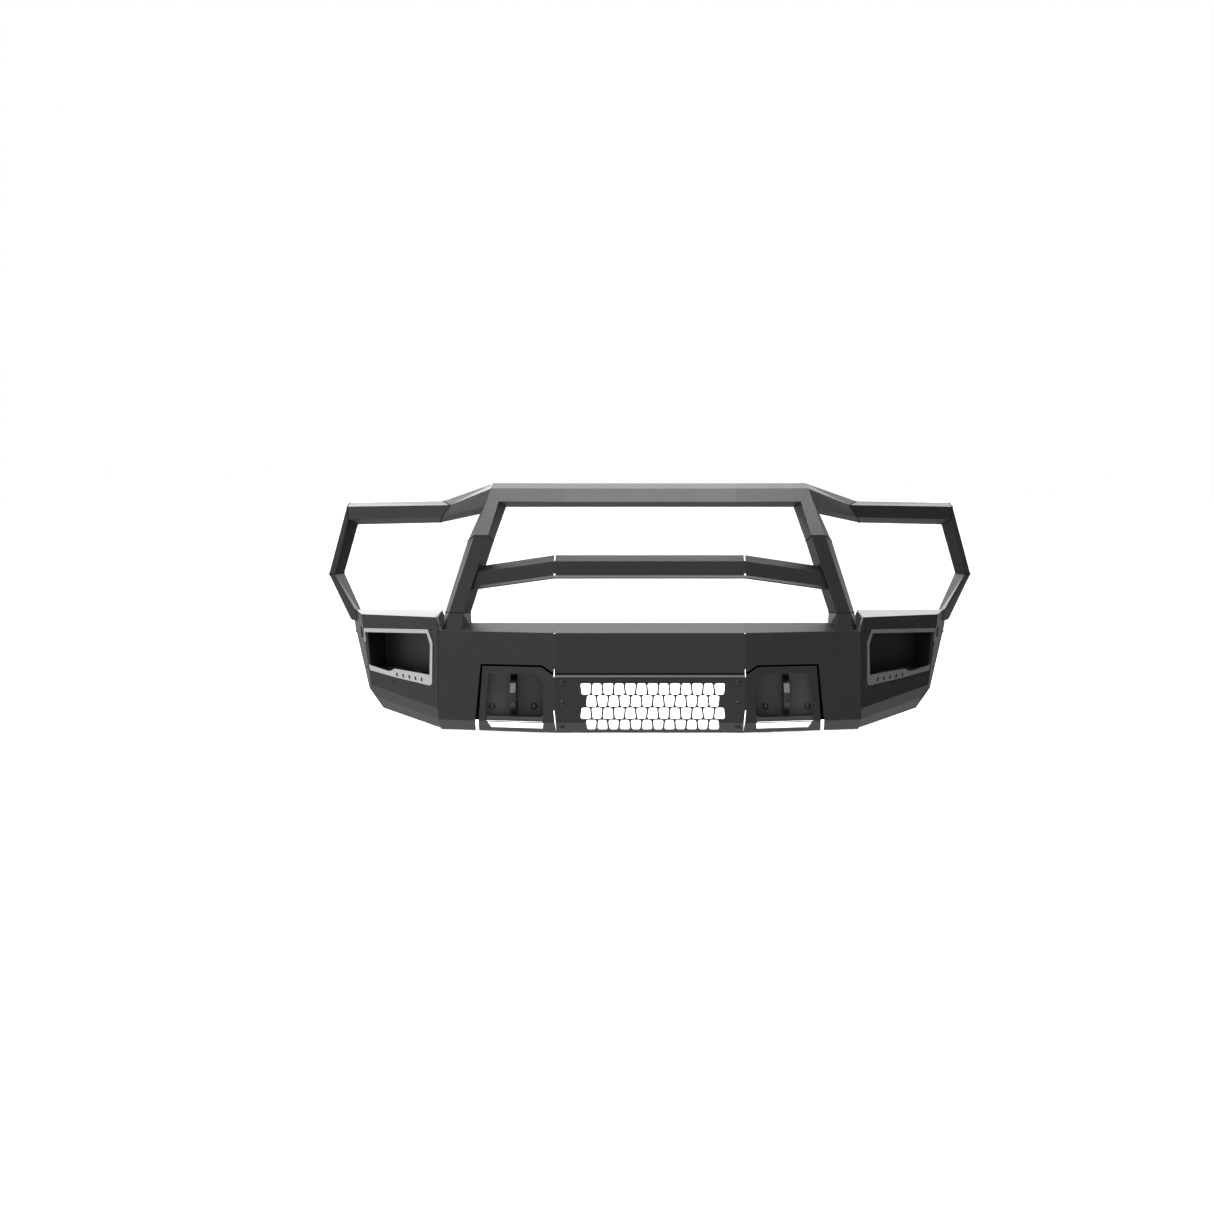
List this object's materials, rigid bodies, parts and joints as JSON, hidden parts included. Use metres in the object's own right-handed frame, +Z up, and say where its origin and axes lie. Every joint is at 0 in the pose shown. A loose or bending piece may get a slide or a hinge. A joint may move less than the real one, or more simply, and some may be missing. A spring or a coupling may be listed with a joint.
{
  "type": "front grille guard",
  "caption": "Full-width formed-steel front bumper with channel grille guard, headlight guards, light pockets, perforated lower panel and tow tabs.",
  "frame": {"origin": "under the middle of the bounding box, at the level of its lowest edge", "axes": "+X to the right as seen from in front, +Y back towards the cab, +Z up; the front faces -Y"},
  "size_m": [2.088, 0.519, 0.7488],
  "materials": {
    "black_coat": "satin black powder coat with a fine texture on formed steel plate",
    "bezel_plate": "satin silver trim plate",
    "black_fastener": "semi-gloss black coated steel"
  },
  "bodies": {
    "root": {"bezel_bolts": "black_fastener", "bezel_left": "bezel_plate", "bezel_right": "bezel_plate", "cross_channel": "black_coat", "foot_gusset_left": "black_coat", "foot_gusset_right": "black_coat", "frame_bracket_left": "black_coat", "frame_bracket_right": "black_coat", "front_skin": "black_coat", "gap_backing_left": "black_coat", "gap_backing_right": "black_coat", "grille_bolts": "black_fastener", "grille_bracket_left": "black_coat", "grille_bracket_right": "black_coat", "guard_bar_left": "black_coat", "guard_bar_right": "black_coat", "guard_leg_lower_left": "black_coat", "guard_leg_lower_right": "black_coat", "guard_leg_upper_left": "black_coat", "guard_leg_upper_right": "black_coat", "guard_slope_left": "black_coat", "guard_slope_right": "black_coat", "light_pocket_left": "black_coat", "light_pocket_right": "black_coat", "light_rail_left": "black_coat", "light_rail_right": "black_coat", "lower_panel": "black_coat", "mid_bar_centre": "black_coat", "mid_bar_left": "black_coat", "mid_bar_right": "black_coat", "panel_lip": "black_coat", "side_plate_left": "black_coat", "side_plate_right": "black_coat", "skin_rib_left": "black_coat", "skin_rib_right": "black_coat", "top_bar_centre": "black_coat", "top_bar_left": "black_coat", "top_bar_right": "black_coat", "tow_base_left": "black_coat", "tow_base_right": "black_coat", "tow_bolts": "black_fastener", "tow_nuts": "black_fastener", "tow_pocket_left": "black_coat", "tow_pocket_right": "black_coat", "tow_tab_left": "black_coat", "tow_tab_right": "black_coat", "upright_foot_left": "black_coat", "upright_foot_right": "black_coat", "upright_head_left": "black_coat", "upright_head_right": "black_coat", "upright_post_left": "black_coat", "upright_post_right": "black_coat", "wing_left": "black_coat", "wing_right": "black_coat", "wing_splice_left": "black_coat", "wing_splice_right": "black_coat", "wing_strut_left": "black_coat", "wing_strut_right": "black_coat"}
  },
  "joints": []
}
